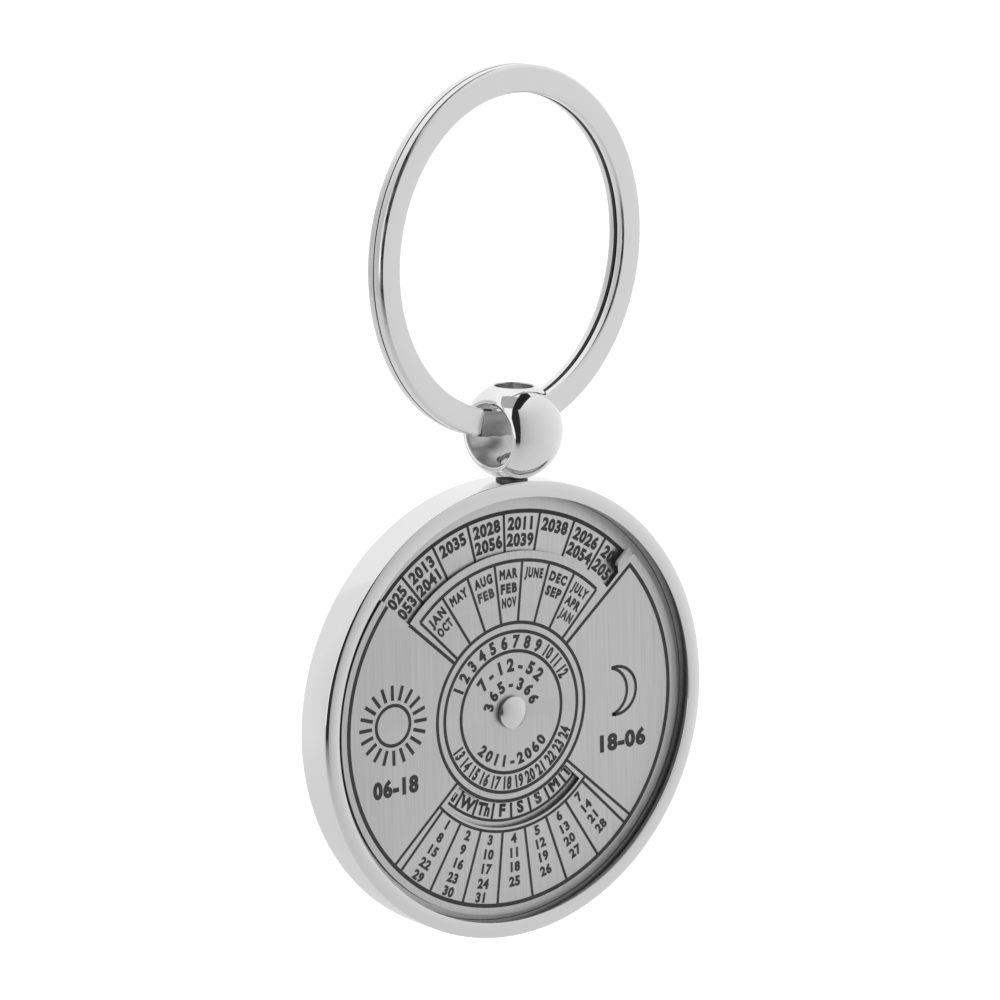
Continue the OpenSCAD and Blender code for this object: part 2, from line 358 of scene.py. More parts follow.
def case_mesh():
    """Round case with its rim, recess, rivet pocket and swivel seat. Heights run towards the reader."""
    past = 1
    recess_r = case_r - RIM_W
    rim = rim_profile(recess_r)
    profile = [(0, -RECESS_FLOOR), (0, -back_depth)]
    profile += arc((case_r - BACK_ROUND, BACK_ROUND - back_depth), BACK_ROUND, -90, 0, ROUND_STEPS)
    profile += rim + [(recess_r, -RECESS_FLOOR)]
    pocket = turned([(0, -POCKET_FLOOR), (POCKET_R, -POCKET_FLOOR), (POCKET_R, past - RECESS_FLOOR),
                     (0, past - RECESS_FLOOR)])
    bmesh.ops.translate(pocket, vec=(0, -rivet_drop, 0), verts=pocket.verts)
    seat = turned([(0, case_r - PIN_SEAT), (PIN_R, case_r - PIN_SEAT), (PIN_R, case_r - WASHER_SEAT_DEPTH),
                   (WASHER_SEAT_R, case_r - WASHER_SEAT_DEPTH), (WASHER_SEAT_R, case_r + past),
                   (0, case_r + past)])
    swivel_depth = (ball_centre.y - face_centre.y) / MM
    upright = Matrix.Translation((0, 0, -swivel_depth)) @ Matrix.Rotation(math.radians(-90), 4, "X")
    bmesh.ops.transform(seat, matrix=upright, verts=seat.verts)
    wall_top = rim[-1].y

    # Upright walls inside the recess take the second material, a darker grey painted as shade in the recess
    def in_recess(middle, normal):
        inside = middle.z < wall_top and middle.xy.length < recess_r + AXIS_R
        return inside and abs(normal.z) < WALL_TILT

    return paint(cut_away(cut_away(turned(profile), pocket), seat), in_recess)


def dial_mesh():
    """Round year dial, centred in the case, with its hole at the rivet."""
    rim_steps = 240
    rim = arc((0, rivet_drop), DIAL_R, 0, 360, rim_steps)[:-1]
    hole = arc((0, 0), DIAL_HOLE_R, 0, 360, HOLE_STEPS)[:-1]
    return sheet([rim, hole])


def plate_mesh():
    """Window plate with its year cut-out, weekday window and bent finger tab."""
    rim_steps = 200
    cut_steps = 80
    window_steps = 60
    right = 90 - YEAR_CUT_HALF
    left = 90 + YEAR_CUT_HALF
    outward = polar(1, right)
    across = polar(1, right + 90)
    tab = [TAB_R[0] * outward,
           (TAB_R[0] + TAB_CHAMFER * (1 - TAB_SOFTENING)) * outward + (TAB_LEN - TAB_CHAMFER) * across,
           (TAB_R[0] + TAB_CHAMFER * (1 + TAB_SOFTENING)) * outward + TAB_LEN * across,
           TAB_R[1] * outward + TAB_LEN * across,
           TAB_R[1] * outward]
    rim = arc((PLATE_SHIFT, 0), PLATE_R, left, right + 360, rim_steps) + tab[::-1]
    rim += arc((0, 0), YEAR_CUT_R, right, left, cut_steps)
    first = 270 - DAY_WINDOW_HALF
    last = 270 + DAY_WINDOW_HALF
    window = arc((0, 0), DAY_WINDOW[0], first, last, window_steps)
    window += arc((0, 0), DAY_WINDOW[1], last, first, window_steps)
    hole = arc((0, 0), PLATE_HOLE_R, 0, 360, HOLE_STEPS)[:-1]
    bm = sheet([rim, window, hole])
    bend_tab(bm, outward.to_3d(), across.to_3d())
    # The plate's edge faces take the second material, a near-black painted as shade in the gap round the
    # plate
    return paint(bm, lambda middle, normal: normal.z < EDGE_TILT)


def bend_tab(bm, outward, across):
    """Bends what stands in the year cut-out, past its right-hand edge, towards the reader."""
    bend = math.radians(TAB_BEND)
    fold = 0.02
    on_plane = 1e-5
    everything = bm.verts[:] + bm.edges[:] + bm.faces[:]
    bmesh.ops.bisect_plane(bm, geom=everything, dist=on_plane, plane_co=(0, 0, 0), plane_no=across)
    for vert in bm.verts:
        reach = vert.co.dot(across)
        along = vert.co.dot(outward)
        if not (TAB_R[0] - fold < along < TAB_R[1] + fold and -fold < reach < TAB_LEN + fold):
            continue
        height = vert.co.z
        if reach < fold:
            vert.co += across * (-height * math.tan(bend / 2))
        else:
            turned_reach = reach * math.cos(bend) - height * math.sin(bend)
            turned_height = reach * math.sin(bend) + height * math.cos(bend)
            vert.co = outward * along + across * turned_reach + Vector((0, 0, turned_height))


def rivet_mesh():
    """Centre rivet with its domed head and spread tail."""
    side = RIVET_HEAD_GAP + RIVET_HEAD_SIDE
    profile = [(0, -RIVET_TAIL[1]), (RIVET_TAIL_R, -RIVET_TAIL[1]), (RIVET_TAIL_R, -RIVET_TAIL[0]),
               (RIVET_R, -RIVET_TAIL[0]), (RIVET_R, RIVET_HEAD_GAP), (RIVET_HEAD_R, RIVET_HEAD_GAP)]
    rivet = turned(profile + dome(RIVET_HEAD_R, RIVET_DOME, side))
    # The rivet's upright sides take a dark grey painted as shade and dark reflection, which makes a dark
    # crescent beside the dome
    return paint(rivet, lambda middle, normal: abs(normal.z) < EDGE_TILT)


def pin_mesh():
    """Swivel pin with its domed head, about the ball's centre."""
    foot = (case_centre.z - ball_centre.z) / MM + case_r - PIN_SEAT
    profile = [(0, foot), (PIN_R, foot), (PIN_R, PIN_HEAD_FOOT)]
    return turned(profile + dome(PIN_HEAD_R, PIN_HEAD_H, PIN_HEAD_FOOT))


def ball_mesh():
    """Swivel ball with its bore, rounded mouths, top hole, foot and pin hole."""
    ball_steps = 48
    lip_steps = 12
    mouth = math.sqrt((ball_r - BORE_LIP) ** 2 - (BORE_R + BORE_LIP) ** 2)
    lip_angle = math.degrees(math.atan2(mouth, BORE_R + BORE_LIP))
    lip = (BORE_R + BORE_LIP, mouth)
    half = arc((0, 0), ball_r, 0, lip_angle, ball_steps)
    half += arc(lip, BORE_LIP, lip_angle, 180, lip_steps)[1:]
    profile = half + [Vector((p.x, -p.y)) for p in half[:0:-1]]
    ball = turned(profile)
    lay_down = Matrix.Rotation(math.radians(90 - bore_tip), 4, "Y")
    bmesh.ops.transform(ball, matrix=lay_down, verts=ball.verts)
    far = 6
    past = 1
    in_bore = -1
    hole_top = math.sqrt(ball_r ** 2 - TOP_HOLE_R ** 2) - TOP_HOLE_CHAMFER
    tool = turned([(0, -far), (far, -far), (far, BALL_FLAT), (PIN_HOLE_R, BALL_FLAT),
                   (PIN_HOLE_R, HEAD_SEAT), (HEAD_SEAT_R, HEAD_SEAT), (HEAD_SEAT_R, in_bore),
                   (TOP_HOLE_R, in_bore), (TOP_HOLE_R, hole_top), (TOP_HOLE_R + past, hole_top + past),
                   (0, far)])
    bore_way = Vector((math.cos(math.radians(bore_tip)), 0, math.sin(math.radians(bore_tip))))
    skin = 0.01
    lip_share = 0.4

    def drilled(middle, normal):
        off_axis = (middle - bore_way * middle.dot(bore_way)).length
        if middle.length > ball_r - skin:
            return 0
        if off_axis < BORE_R + lip_share * BORE_LIP:
            return 1
        return 2 if middle.xy.length < TOP_HOLE_R + TOP_HOLE_CHAMFER else 0

    return paint(cut_away(ball, tool), drilled)


def wire_section(inset, step):
    """Bevelled flat section of the ring's wire, as (along the radius, to the back), drawn in by an inset.

    The corners that the two turns hide from each other are tighter than those that polishing reached.
    """
    corner_steps = 3
    blend = 4
    half_w = WIRE_W / 2 - inset
    half_t = WIRE_T / 2 - inset
    corners = ((1, 1, 0), (-1, 1, 90), (-1, -1, 180), (1, -1, 270))
    points = []
    for side, face, start in corners:
        hidden = step if face < 0 else 1 - step
        bevel = OPEN_BEVEL[side] * (1 - hidden) + GAP_BEVEL[side] * hidden
        near_edge = (side * (half_w - WIRE_ROUND), face * (half_t - bevel))
        near_face = (side * (half_w - bevel), face * (half_t - WIRE_ROUND))
        first, last = (near_edge, near_face) if side == face else (near_face, near_edge)
        points += arc(first, WIRE_ROUND, start, start + 45 - blend, corner_steps)
        points += arc(last, WIRE_ROUND, start + 45 + blend, start + 90, corner_steps)
    return points


def wire_step(phi):
    """Share of the step from the front turn to the rear turn."""
    way = min(max((phi - 360 + JOG_ANGLE) / JOG_ANGLE, 0), 1)
    return way * way * (3 - 2 * way)


def ring_mesh():
    """Two turns of flat wire with rounded ends, clockwise from the front turn's free end."""
    wire_r = ring_outer_r - WIRE_W / 2
    end_steps = 5
    easing = []
    for i in range(end_steps):
        angle = math.radians(90 * i / end_steps)
        along = END_ROUND * (1 - math.cos(angle))
        easing.append((math.degrees(along / wire_r), END_ROUND * (1 - math.sin(angle))))
    first = math.degrees(END_ROUND / wire_r)
    steps = 760
    stations = easing + [(first + (RING_SWEEP - 2 * first) * i / steps, 0) for i in range(steps + 1)]
    stations += [(RING_SWEEP - phi, inset) for phi, inset in reversed(easing)]
    bm = bmesh.new()
    rows = []
    for phi, inset in stations:
        angle = -90 - FREE_END - phi
        step = wire_step(phi)
        depth = TURN_PITCH * (step - 0.5)
        row = []
        for point in wire_section(inset, step):
            place = polar(wire_r + point.x, angle)
            row.append(bm.verts.new((place.x, depth + point.y, place.y)))
        rows.append(row)
    for row, after in zip(rows, rows[1:]):
        for i in range(len(row)):
            j = (i + 1) % len(row)
            bm.faces.new((row[i], row[j], after[j], after[i]))
    ends = [bm.faces.new(rows[0]), bm.faces.new(rows[-1])]
    bmesh.ops.recalc_face_normals(bm, faces=bm.faces)
    # Faces turned towards the gap between the turns, and the wire's two ends, take a near-black painted as
    # shade
    between = 0.5
    for face in bm.faces:
        towards_gap = -face.normal.y if face.calc_center_median().y > 0 else face.normal.y
        face.material_index = 1 if towards_gap > between or face in ends else 0
    return bm


# Printing: thin closed strips and letters, drawn in the plane of the face

def add_strip(bm, inner, outer, rise, closed=False):
    """Thin strip of ink between two lines of points."""
    layers = []
    for height in (-PRINT_SINK, rise):
        layers.append([[bm.verts.new((p.x, p.y, height)) for p in line] for line in (inner, outer)])
    (low_in, low_out), (top_in, top_out) = layers
    count = len(inner)
    for i in range(count if closed else count - 1):
        j = (i + 1) % count
        bm.faces.new((top_in[i], top_out[i], top_out[j], top_in[j]))
        bm.faces.new((low_in[i], low_in[j], low_out[j], low_out[i]))
        bm.faces.new((low_out[i], low_out[j], top_out[j], top_out[i]))
        bm.faces.new((low_in[i], top_in[i], top_in[j], low_in[j]))
    if not closed:
        bm.faces.new((low_in[0], low_out[0], top_out[0], top_in[0]))
        bm.faces.new((low_in[-1], top_in[-1], top_out[-1], low_out[-1]))


def add_arc(bm, radius, start, end, width=LINE, centre=(0, 0)):
    """Printed arc, or a whole circle where it spans 360 degrees."""
    per_degree = 0.8
    fewest = 24
    closed = abs(end - start) >= 360
    steps = max(int(abs(end - start) * per_degree), fewest)
    inner = arc(centre, radius - width / 2, start, end, steps)
    outer = arc(centre, radius + width / 2, start, end, steps)
    if closed:
        inner.pop()
        outer.pop()
    add_strip(bm, inner, outer, PRINT_RISE, closed)


def add_line(bm, start, end, width=THIN_LINE):
    """Printed straight line."""
    along = (end - start).normalized()
    side = Vector((-along.y, along.x)) * width / 2
    add_strip(bm, [start - side, end - side], [start + side, end + side], LINE_RISE)


def add_spoke(bm, angle, r0, r1, width=THIN_LINE):
    """Printed line along a radius."""
    add_line(bm, polar(r0, angle), polar(r1, angle), width)


def letters(string, bold, space):
    """Mesh of some lettering in the built-in typeface, one unit high, centred on its middle."""
    cap_height = 0.73
    half_thick = 0.5
    curve = bpy.data.curves.new("lettering", "FONT")
    curve.body = string
    curve.align_x = "CENTER"
    curve.space_character = space
    curve.resolution_u = 3
    curve.extrude = half_thick - bold
    curve.bevel_depth = bold
    curve.bevel_resolution = 0
    bm = from_curve(curve)
    bold_height = cap_height + 2 * bold
    bmesh.ops.translate(bm, vec=(0, -cap_height / 2, 0), verts=bm.verts)
    bmesh.ops.scale(bm, vec=(1 / bold_height, 1 / bold_height, 1), verts=bm.verts)
    return bm


def set_text(bm, lettering, height, centre, turn, squeeze):
    """Printed lettering of a cap height, narrowed by a squeeze, at a place and a turn."""
    thickness = PRINT_RISE + PRINT_SINK
    middle = (PRINT_RISE - PRINT_SINK) / 2
    place = (Matrix.Translation((centre.x, centre.y, middle))
             @ Matrix.Rotation(math.radians(turn), 4, "Z")
             @ Matrix.Diagonal((height * squeeze, height, thickness, 1)))
    bmesh.ops.transform(lettering, matrix=place, verts=lettering.verts)
    mesh = bpy.data.meshes.new("lettering")
    lettering.to_mesh(mesh)
    lettering.free()
    bm.from_mesh(mesh)
    bpy.data.meshes.remove(mesh)


def add_text(bm, string, height, centre, turn, squeeze=LETTER_SQUEEZE):
    """Printed lettering in the common weight and spacing."""
    set_text(bm, letters(string, LETTER_BOLD, LETTER_SPACE), height, centre, turn, squeeze)


def add_month(bm, name, radius, angle):
    """Month name, tops outward, spread to a width that goes with its radius."""
    lettering = letters(name, MONTH_BOLD, MONTH_SPACE)
    across = [vert.co.x for vert in lettering.verts]
    middle = (min(across) + max(across)) / 2
    bmesh.ops.translate(lettering, vec=(-middle, 0, 0), verts=lettering.verts)
    squeeze = MONTH_SPREAD * radius / MONTH_HEIGHT / (max(across) - min(across))
    set_text(bm, lettering, MONTH_HEIGHT, polar(radius, angle), angle - 90, squeeze)


def add_outward_text(bm, string, height, radius, angle, squeeze=LETTER_SQUEEZE):
    """Lettering with its tops away from the centre."""
    add_text(bm, string, height, polar(radius, angle), angle - 90, squeeze)


def add_inward_text(bm, string, height, radius, angle, squeeze=LETTER_SQUEEZE):
    """Lettering with its tops towards the centre."""
    add_text(bm, string, height, polar(radius, angle), angle + 90, squeeze)


def print_months(dark, light):
    """Month block under the year cut-out."""
    block_r = 13.03
    inner_r = MIDDLE_CIRCLES[-1]
    rows = (12.0, 10.75, 9.53)
    half = WEEK / 2 * PITCH
    add_spoke(dark, 90 + YEAR_CUT_HALF, inner_r, YEAR_CUT_R, MIDDLE_LINE)
    add_spoke(dark, RIGHT_SPOKE, inner_r, OUTER_CIRCLE + LINE / 2, MIDDLE_LINE)
    add_arc(dark, block_r, 90 - half, 90 + half, MIDDLE_LINE)
    for i in range(WEEK + 1):
        add_spoke(dark, 90 - half + i * PITCH, inner_r, block_r)
    for column, names in enumerate(MONTHS):
        for row, name in enumerate(names):
            layer = light if (column, row) in LEAP_MONTHS else dark
            add_month(layer, name, rows[row], 90 + (WEEK // 2 - column) * PITCH)


def print_dates(dark):
    """Date block under the weekday window, with the window's own border."""
    border_half = 47.9
    top_r = 10.33
    inner_r = MIDDLE_CIRCLES[-1]
    rows = (11.05, 12.3, 13.55, 14.83, 16.03)
    height = 0.95
    half = WEEK / 2 * PITCH
    add_arc(dark, top_r, 270 - border_half, 270 + border_half, THIN_LINE)
    for side in (-1, 1):
        add_spoke(dark, 270 + side * border_half, inner_r, OUTER_CIRCLE)
    for i in range(WEEK + 1):
        add_spoke(dark, 270 - half + i * PITCH, top_r, OUTER_CIRCLE)
    for date in range(1, 32):
        row, column = divmod(date - 1, WEEK)
        add_inward_text(dark, str(date), height, rows[row], 270 + (column - WEEK // 2) * PITCH)


def print_hours(dark):
    """Plain hour numbers in the band round the rivet, and plain numbers in the inner disc."""
    hours = 12
    pitch = 11.6
    band_r = 6.1
    height = 1.22
    squeeze = {1: 0.85, 2: 0.62}
    for hour in range(hours):
        offset = (hour - (hours - 1) / 2) * pitch
        early = str(hour + 1)
        late = str(hour + hours + 1)
        add_outward_text(dark, early, height, band_r, 90 - offset, squeeze[len(early)])
        add_inward_text(dark, late, height, band_r, 270 + offset, squeeze[len(late)])
    add_arc_text(dark, "7-12-52", radius=4.1, middle=90, pitch=15.5, height=1.25)
    add_arc_text(dark, "365-366", radius=2.5, middle=90, pitch=24, height=1.15)
    span = "%d-%d" % (YEARS[0], YEARS[-1])
    span_r = 4.2
    span_height = 1.1
    for i, mark in enumerate(span):
        add_inward_text(dark, mark, span_height, span_r, 270 + (i - len(span) // 2) * pitch)


def add_arc_text(bm, string, radius, middle, pitch, height):
    """Lettering set mark by mark along an arc, tops outward."""
    for i, mark in enumerate(string):
        add_outward_text(bm, mark, height, radius, middle - (i - (len(string) - 1) / 2) * pitch)


def print_sun(dark):
    """Sun with its rays, over the day hours."""
    centre = Vector((-12.23, 0.86))
    disc_r = 1.72
    rays = 20
    ray_foot = 2.15
    ray_tip = 3.45
    ray_line = 0.32
    add_arc(dark, disc_r, 0, 360, MIDDLE_LINE, centre)
    for i in range(rays):
        angle = 360 * i / rays
        add_line(dark, centre + polar(ray_foot, angle), centre + polar(ray_tip, angle), ray_line)
    add_text(dark, "06-18", HOURS_HEIGHT, Vector((-12.1, -4.45)), turn=0, squeeze=0.93)


def print_moon(dark):
    """Outlined crescent, over the night hours."""
    outer_x = 11.16
    inner_x = 10.2
    radius = 2.1
    line = 0.28
    half_gap = (outer_x - inner_x) / 2
    tip = math.degrees(math.acos(half_gap / radius))
    add_arc(dark, radius, tip - 180, 180 - tip, line, (outer_x, 0))
    add_arc(dark, radius, -tip, tip, line, (inner_x, 0))
    add_text(dark, "18-06", HOURS_HEIGHT, Vector((11.6, -4.4)), turn=0, squeeze=1.05)


def plate_prints():
    """Dark and light printing of the window plate."""
    dark = bmesh.new()
    light = bmesh.new()
    for radius in MIDDLE_CIRCLES:
        add_arc(dark, radius, 0, 360, MIDDLE_LINE)
    add_arc(dark, OUTER_CIRCLE, 90 + YEAR_CUT_HALF, 360 + RIGHT_SPOKE)
    print_months(dark, light)
    print_dates(dark)
    print_hours(dark)
    print_sun(dark)
    print_moon(dark)
    return dark, light


def year_class(year):
    """Number that years share whose dates from March on fall on the same weekdays."""
    return (calendar.weekday(year, 1, 1) + 1 + calendar.isleap(year)) % WEEK


def dial_prints():
    """Dark and light printing of the year dial: 28 columns of years, and the weekdays that go with them."""
    dark = bmesh.new()
    light = bmesh.new()
    rows = (16.15, 14.75)
    outer_r = 17.18
    year_foot = 13.6
    day_ring = (7.6, 9.45)
    day_r = 8.55
    height = 1.22
    year_squeeze = 0.88
    day_narrowing = 0.3
    deals = COLUMNS // WEEK
    first_deal = 2
    add_arc(dark, outer_r, 0, 360)
    for radius in reversed(day_ring):
        add_arc(dark, radius, 0, 360, THIN_LINE)
    for column in range(COLUMNS):
        edge = DIAL_START - PITCH * column
        middle = edge - PITCH / 2
        add_spoke(dark, edge, year_foot, outer_r)
        add_spoke(dark, edge, *day_ring)
        kind = (FIRST_CLASS - column) % WEEK
        years = [year for year in YEARS if year_class(year) == kind]
        deal = (column // WEEK + first_deal + kind) % deals
        for year, radius in zip(years[deal::deals], rows):
            add_outward_text(dark, str(year), height, radius, middle, year_squeeze)
        weekday = (kind - 1) % WEEK
        name = WEEKDAYS[weekday]
        day_squeeze = LETTER_SQUEEZE / len(name) ** day_narrowing
        add_inward_text(light if weekday == 0 else dark, name, height, day_r, middle, day_squeeze)
    return dark, light


# Finishes

NOISE_LOW = 0.3
NOISE_HIGH = 0.7


def new_material(name):
    """Material with its node tree and shader."""
    material = bpy.data.materials.new(name)
    material.use_nodes = True
    return material, material.node_tree, material.node_tree.nodes["Principled BSDF"]


def noise(tree, scale, detail=3.0):
    """Noise over the piece's own coordinates, with a scale per metre along each axis."""
    place = tree.nodes.new("ShaderNodeTexCoord")
    stretch = tree.nodes.new("ShaderNodeMapping")
    stretch.inputs["Scale"].default_value = scale
    texture = tree.nodes.new("ShaderNodeTexNoise")
    texture.inputs["Scale"].default_value = 1
    texture.inputs["Detail"].default_value = detail
    tree.links.new(place.outputs["Object"], stretch.inputs["Vector"])
    tree.links.new(stretch.outputs["Vector"], texture.inputs["Vector"])
    return texture.outputs["Fac"]


def ranged(tree, value, low, high, target):
    """Feeds a target socket with a value spread from low to high."""
    spread = tree.nodes.new("ShaderNodeMapRange")
    spread.inputs["From Min"].default_value = NOISE_LOW
    spread.inputs["From Max"].default_value = NOISE_HIGH
    spread.inputs["To Min"].default_value = low
    spread.inputs["To Max"].default_value = high
    tree.links.new(value, spread.inputs["Value"])
    tree.links.new(spread.outputs["Result"], target)


def shaded(tree, value, low, high, target):
    """Feeds a colour socket with a grey between two tones."""
    ramp = tree.nodes.new("ShaderNodeValToRGB")
    ramp.color_ramp.elements[0].position = NOISE_LOW
    ramp.color_ramp.elements[0].color = (*low, 1)
    ramp.color_ramp.elements[1].position = NOISE_HIGH
    ramp.color_ramp.elements[1].color = (*high, 1)
    tree.links.new(value, ramp.inputs["Fac"])
    tree.links.new(ramp.outputs["Color"], target)


def bumped(tree, value, strength, distance, shader):
    """Feeds the shader's normal with a bump."""
    bump = tree.nodes.new("ShaderNodeBump")
    bump.inputs["Strength"].default_value = strength
    bump.inputs["Distance"].default_value = distance
    tree.links.new(value, bump.inputs["Height"])
    tree.links.new(bump.outputs["Normal"], shader.inputs["Normal"])


def chrome(name, tone, rough, ripple=0.0):
    """Polished plating with faint wear in its gloss and, on castings, a slight ripple."""
    blue_cast = 1.006
    wear = 2.2
    wear_scale = 900
    ripple_scale = 260
    ripple_depth = 0.0001
    material, tree, shader = new_material(name)
    shader.inputs["Metallic"].default_value = 1
    shader.inputs["Base Color"].default_value = (tone, tone, tone * blue_cast, 1)
    ranged(tree, noise(tree, (wear_scale,) * 3), rough, rough * wear, shader.inputs["Roughness"])
    if ripple:
        bumped(tree, noise(tree, (ripple_scale,) * 3, 2), ripple, ripple_depth, shader)
    return material


def brushed(name, low, high, rough):
    """Sheet brushed along its own y axis, with fine streaks in tone and gloss."""
    fine = (9000, 110, 50)
    broad = (5000, 60, 50)
    glossiest = 0.85
    dullest = 1.25
    streak_strength = 0.25
    streak_depth = 0.00002
    material, tree, shader = new_material(name)
    shader.inputs["Metallic"].default_value = 1
    streaks = noise(tree, fine, 5)
    shaded(tree, streaks, low, high, shader.inputs["Base Color"])
    ranged(tree, noise(tree, broad), rough * glossiest, rough * dullest, shader.inputs["Roughness"])
    bumped(tree, streaks, streak_strength, streak_depth, shader)
    return material


def ink(name, tone):
    """Screen-printed ink with a slightly uneven cover."""
    palest = 1.25
    darkest = 0.8
    material, tree, shader = new_material(name)
    shader.inputs["Roughness"].default_value = 0.42
    shader.inputs["Specular IOR Level"].default_value = 0.35
    cover = noise(tree, (2500, 2500, 2500), 2)
    shaded(tree, cover, (tone * darkest,) * 3, (tone * palest,) * 3, shader.inputs["Base Color"])
    return material


def plain(name, tone, rough, metallic=1):
    """Plain finish with a little variation in its tone."""
    palest = 1.06
    darkest = 0.92
    material, tree, shader = new_material(name)
    shader.inputs["Metallic"].default_value = metallic
    shader.inputs["Roughness"].default_value = rough
    grain = noise(tree, (1500, 1500, 1500))
    shaded(tree, grain, (tone * darkest,) * 3, (tone * palest,) * 3, shader.inputs["Base Color"])
    return material


# Stage: camera, floor, cards and light

CAMERA_LENS = 220.02
CAMERA_AIM = Vector((2.30, 3.18, -21.85))
CAMERA_DISTANCE = 516.9
CAMERA_AZIMUTH = -36.57
CAMERA_ELEVATION = 10.62
CAMERA_ROLL = 1.39
FLOOR_DROP = 40.0

# Radii and heights of the cards
CARD_LIFT = 1.0
GREY_R = 250
GREY_HEIGHTS = (150, 500, 800)
GAP_FOOT_R = 115
GAP_R = 255
GAP_TOP = 410
PALE_R = 260
PALE_HEIGHTS = (150, 400)
GROUND_R = 420
GROUND_TONE = 0.66
CEILING = 378
CEILING_AZIMUTH = 128

# Tones of the cards: an azimuth and its tones upward, or an azimuth on the ground and its tone
GREY_WALL = ((-18.6, 0.39, 0.42, 0.75, 0.95), (-11, 0.48, 0.52, 0.78, 0.95), (3, 0.57, 0.60, 0.80, 0.95),
             (18, 0.63, 0.66, 0.82, 0.95), (33, 0.67, 0.70, 0.84, 0.95), (51, 0.72, 0.75, 0.86, 0.95),
             (72, 0.77, 0.80, 0.88, 0.95), (95, 0.83, 0.85, 0.90, 0.97), (122, 0.91, 0.92, 0.95, 0.98),
             (150, 0.99, 0.99, 1.0, 1.0))
DARK_GAP = ((-41.6, 0.56, 0.025, 0.025), (-30, 0.56, 0.025, 0.025), (-18.6, 0.56, 0.025, 0.025))
PALE_WALL = ((-240, 1.0, 1.0, 1.0), (-212, 0.99, 0.99, 1.0), (-198, 0.92, 0.93, 1.0),
             (-178, 0.90, 0.92, 1.0), (-156, 0.88, 0.92, 1.0), (-154, 0.82, 0.84, 0.92),
             (-143, 0.81, 0.83, 0.92), (-132, 0.66, 0.70, 0.90), (-124, 0.52, 0.56, 0.85),
             (-112, 0.50, 0.56, 0.85))
GREY_GROUND = ((-62, 0.55), (-41, 0.30), (-18, 0.28), (3, 0.51), (18, 0.61), (33, 0.68), (51, 0.76),
               (72, 0.845), (95, 0.94), (122, 1.0), (150, 1.0), (175, 1.0), (193, 1.0), (217, 0.91),
               (228, 0.68), (248, 0.5), (275, 0.60))


def heading(azimuth, elevation):
    """Direction from the object at an azimuth, 0 to the front and 90 to the right, and an elevation."""
    flat = math.cos(math.radians(elevation))
    return Vector((math.sin(math.radians(azimuth)) * flat, -math.cos(math.radians(azimuth)) * flat,
                   math.sin(math.radians(elevation))))


def add_camera():
    """Camera at the photograph's viewing angle."""
    back = heading(CAMERA_AZIMUTH, CAMERA_ELEVATION)
    level = heading(CAMERA_AZIMUTH + 90, 0)
    roll = math.radians(CAMERA_ROLL)
    right = level * math.cos(roll) + back.cross(level) * math.sin(roll)
    up = back.cross(right)
    data = bpy.data.cameras.new("camera")
    data.lens = CAMERA_LENS
    camera = bpy.data.objects.new("camera", data)
    bpy.context.scene.collection.objects.link(camera)
    place = Matrix((right, up, back)).transposed().to_4x4()
    place.translation = (CAMERA_AIM + back * CAMERA_DISTANCE) * MM
    camera.matrix_world = place
    bpy.context.scene.camera = camera


def seen_directly(tree):
    """Socket that is 1 for camera, glossy and transmission rays."""
    path = tree.nodes.new("ShaderNodeLightPath")
    either = path.outputs["Is Camera Ray"]
    for ray in ("Is Glossy Ray", "Is Transmission Ray"):
        most = tree.nodes.new("ShaderNodeMath")
        most.operation = "MAXIMUM"
        tree.links.new(either, most.inputs[0])
        tree.links.new(path.outputs[ray], most.inputs[1])
        either = most.outputs["Value"]
    return either


def add_world():
    """White surroundings, with a softer share of light on what is matt."""
    matt_light = 0.45
    world = bpy.data.worlds.new("studio")
    bpy.context.scene.world = world
    world.use_nodes = True
    tree = world.node_tree
    background = tree.nodes["Background"]
    background.inputs["Color"].default_value = (1, 1, 1, 1)
    level = tree.nodes.new("ShaderNodeMapRange")
    level.inputs["To Min"].default_value = matt_light
    level.inputs["To Max"].default_value = 1
    tree.links.new(seen_directly(tree), level.inputs["Value"])
    tree.links.new(level.outputs["Result"], background.inputs["Strength"])


def add_floor():
    """Pale floor below the hanging keyring. It takes the shadow and shows white."""
    size = 4000
    shadow_share = 0.5
    lit_share = 0.85
    bm = bmesh.new()
    bmesh.ops.create_grid(bm, x_segments=1, y_segments=1, size=size / 2)
    floor = new_object("floor", bm)
    floor.location.z = (case_low.z - FLOOR_DROP) * MM
    material, tree, shader = new_material("pale_floor")
    shader.inputs["Base Color"].default_value = (shadow_share, shadow_share, shadow_share, 1)
    shader.inputs["Roughness"].default_value = 1
    shader.inputs["Specular IOR Level"].default_value = 0
    shader.inputs["Emission Color"].default_value = (1, 1, 1, 1)
    glow = tree.nodes.new("ShaderNodeMath")
    glow.operation = "MULTIPLY"
    glow.inputs[1].default_value = 1 - shadow_share * lit_share
    tree.links.new(seen_directly(tree), glow.inputs[0])
    tree.links.new(glow.outputs["Value"], shader.inputs["Emission Strength"])
    floor.data.materials.append(material)


def add_card(name, points, faces, tones):
    """Card that only polished and brushed metal sees, with a tone at each of its points."""
    bm = bmesh.new()
    verts = [bm.verts.new(point) for point in points]
    for face in faces:
        bm.faces.new([verts[i] for i in face])
    card = new_object(name, bm)
    shade = card.data.color_attributes.new("tone", "FLOAT_COLOR", "POINT")
    for place, tone in zip(shade.data, tones):
        place.color = (tone, tone, tone, 1)
    card.visible_camera = False
    card.visible_diffuse = False
    card.visible_shadow = False
    material = bpy.data.materials.new(name)
    material.use_nodes = True
    tree = material.node_tree
    glow = tree.nodes.new("ShaderNodeEmission")
    source = tree.nodes.new("ShaderNodeAttribute")
    source.attribute_name = "tone"
    tree.links.new(source.outputs["Color"], glow.inputs["Color"])
    tree.links.new(glow.outputs["Emission"], tree.nodes["Material Output"].inputs["Surface"])
    card.data.materials.append(material)


